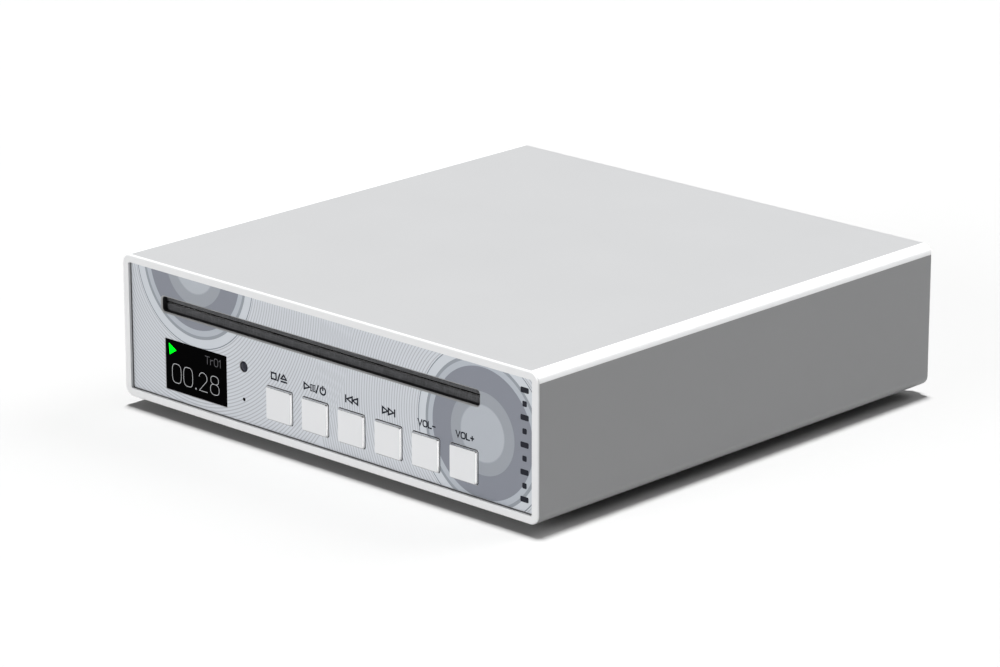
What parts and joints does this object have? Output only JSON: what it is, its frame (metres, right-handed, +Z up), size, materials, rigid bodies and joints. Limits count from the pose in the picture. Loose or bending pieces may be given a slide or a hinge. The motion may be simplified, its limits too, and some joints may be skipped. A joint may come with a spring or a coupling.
{
  "type": "slot-loading cd player",
  "caption": "Slim square desktop CD player: one-piece metal sleeve, inset front with a felted disc slot, small display, square keys, and a working slot loader inside",
  "frame": {"origin": "on the floor under the middle of the player's bounding box, rear sockets included", "axes": "+X to the right seen from the front, +Y from the front to the back, +Z up"},
  "size_m": [0.164, 0.176, 0.0463],
  "materials": {
    "casing_metal": "satin anodised, fine blasted",
    "panel_metal": "satin anodised, printed with fine grey rings",
    "key_metal": "satin with bright cut edges",
    "window_glass": "polished black",
    "sensor_lens": "polished dark",
    "black_plastic": "moulded",
    "slot_felt": "short dark felt",
    "circuit_board": "lacquered green laminate",
    "chip_plastic": "moulded",
    "steel_screw": "zinc plated",
    "steel_sheet": "zinc plated sheet",
    "foot_rubber": "matt black",
    "damper_rubber": "soft dark",
    "gold_plate": "gold plated",
    "socket_plastic": "moulded",
    "capacitor_sleeve": "shrink sleeve, bare top",
    "cable_grey": "flat ribbon",
    "frame_plastic": "glass-filled moulding",
    "motor_can": "drawn can",
    "bright_steel": "ground and polished",
    "roller_rubber": "ground rubber",
    "gear_plastic": "acetal",
    "hub_plastic": "moulded",
    "sledge_plastic": "moulded",
    "lens_glass": "coated"
  },
  "bodies": {
    "case": {"sleeve": "casing_metal", "front_panel": "panel_metal", "display_window": "window_glass", "display_module": "black_plastic", "sensor_window": "sensor_lens", "remote_receiver": "black_plastic", "slot_frame": "black_plastic", "felt_upper": "slot_felt", "felt_lower": "slot_felt", "front_board": "circuit_board", "board_pillars": "gold_plate", "key_switches": "black_plastic", "tray": "steel_sheet", "feet": "foot_rubber", "foot_screws": "steel_screw", "rear_panel": "casing_metal", "rear_screws": "steel_screw", "phono_housings": "socket_plastic", "phono_barrels": "gold_plate", "optical_socket": "socket_plastic", "power_inlet": "socket_plastic", "power_pin": "bright_steel", "main_board": "circuit_board", "capacitors": "capacitor_sleeve", "chips": "chip_plastic", "cable_plugs": "gear_plastic", "ribbon_cable": "cable_grey", "loader_frame": "frame_plastic", "loader_dampers": "damper_rubber", "loader_screws": "steel_screw", "top_plate": "steel_sheet", "disc_guide": "frame_plastic", "idler_post": "bright_steel", "loading_motor": "motor_can", "small_screws": "steel_screw"},
    "traverse": {"traverse_deck": "steel_sheet", "guide_rods": "bright_steel", "spindle_motor": "motor_can", "sled_motor": "motor_can"},
    "spindle": {"turntable": "hub_plastic", "grip_ring": "roller_rubber"},
    "pickup": {"pickup_sledge": "sledge_plastic"},
    "lens": {"lens_holder": "sledge_plastic", "objective_lens": "lens_glass"},
    "lead_screw": {"lead_screw": "bright_steel"},
    "cam_slide": {"cam_slide": "steel_sheet"},
    "clamp": {"clamp_puck": "hub_plastic", "clamp_magnet": "bright_steel"},
    "roller": {"roller_shaft": "bright_steel", "rubber_roller": "roller_rubber", "roller_gear": "gear_plastic"},
    "idler": {"idler_gear": "gear_plastic"},
    "pinion": {"motor_pinion": "gear_plastic"},
    "optical_flap": {"optical_flap": "socket_plastic"},
    "key_stop": {"button_stop": "key_metal"},
    "key_play": {"button_play": "key_metal"},
    "key_previous": {"button_previous": "key_metal"},
    "key_next": {"button_next": "key_metal"},
    "key_volume_down": {"button_volume_down": "key_metal"},
    "key_volume_up": {"button_volume_up": "key_metal"}
  },
  "joints": [
    {"name": "traverse_lift", "type": "slide", "parent": "case", "child": "traverse", "axis": [0, 0, 1], "range_m": [0, 0.0047]},
    {"name": "cam_travel", "type": "slide", "parent": "case", "child": "cam_slide", "axis": [0, 1, 0], "range_m": [0, 0.0094]},
    {"name": "spindle_spin", "type": "hinge", "parent": "traverse", "child": "spindle", "pos_m": [-0.00365, -0.008, 0.029], "axis": [0, 0, 1], "continuous": true},
    {"name": "clamp_spin", "type": "hinge", "parent": "case", "child": "clamp", "pos_m": [-0.00365, -0.008, 0.038], "axis": [0, 0, 1], "continuous": true},
    {"name": "pickup_travel", "type": "slide", "parent": "traverse", "child": "pickup", "axis": [0, 1, 0], "range_m": [0, 0.034]},
    {"name": "lead_screw_spin", "type": "hinge", "parent": "traverse", "child": "lead_screw", "pos_m": [-0.03065, 0.0036, 0.0205], "axis": [0, 1, 0], "range_deg": [0, 4081]},
    {"name": "lens_focus", "type": "slide", "parent": "pickup", "child": "lens", "axis": [0, 0, 1], "range_m": [-0.0004, 0.0004], "stiffness_N_per_m": 100},
    {"name": "roller_spin", "type": "hinge", "parent": "case", "child": "roller", "pos_m": [-0.00365, -0.073, 0.0292], "axis": [1, 0, 0], "continuous": true},
    {"name": "idler_spin", "type": "hinge", "parent": "case", "child": "idler", "pos_m": [0.0652, -0.06458, 0.02197], "axis": [1, 0, 0], "continuous": true},
    {"name": "pinion_spin", "type": "hinge", "parent": "case", "child": "pinion", "pos_m": [0.0652, -0.056, 0.0226], "axis": [1, 0, 0], "continuous": true},
    {"name": "optical_flap_hinge", "type": "hinge", "parent": "case", "child": "optical_flap", "pos_m": [-0.004, 0.0786, 0.0203], "axis": [-1, 0, 0], "range_deg": [0, 80], "stiffness_Nm_per_rad": 0.0002},
    {"name": "press_stop", "type": "slide", "parent": "case", "child": "key_stop", "axis": [0, 1, 0], "range_m": [0, 0.0006], "stiffness_N_per_m": 300},
    {"name": "press_play", "type": "slide", "parent": "case", "child": "key_play", "axis": [0, 1, 0], "range_m": [0, 0.0006], "stiffness_N_per_m": 300},
    {"name": "press_previous", "type": "slide", "parent": "case", "child": "key_previous", "axis": [0, 1, 0], "range_m": [0, 0.0006], "stiffness_N_per_m": 300},
    {"name": "press_next", "type": "slide", "parent": "case", "child": "key_next", "axis": [0, 1, 0], "range_m": [0, 0.0006], "stiffness_N_per_m": 300},
    {"name": "press_volume_down", "type": "slide", "parent": "case", "child": "key_volume_down", "axis": [0, 1, 0], "range_m": [0, 0.0006], "stiffness_N_per_m": 300},
    {"name": "press_volume_up", "type": "slide", "parent": "case", "child": "key_volume_up", "axis": [0, 1, 0], "range_m": [0, 0.0006], "stiffness_N_per_m": 300}
  ],
  "couplings": [
    {"joint": "cam_travel", "follows": "traverse_lift", "ratio": 2},
    {"joint": "clamp_spin", "follows": "spindle_spin", "ratio": 1},
    {"joint": "lead_screw_spin", "follows": "pickup_travel", "rad_per_m": 2094.4},
    {"joint": "idler_spin", "follows": "roller_spin", "ratio": -0.83333},
    {"joint": "pinion_spin", "follows": "roller_spin", "ratio": 2}
  ]
}
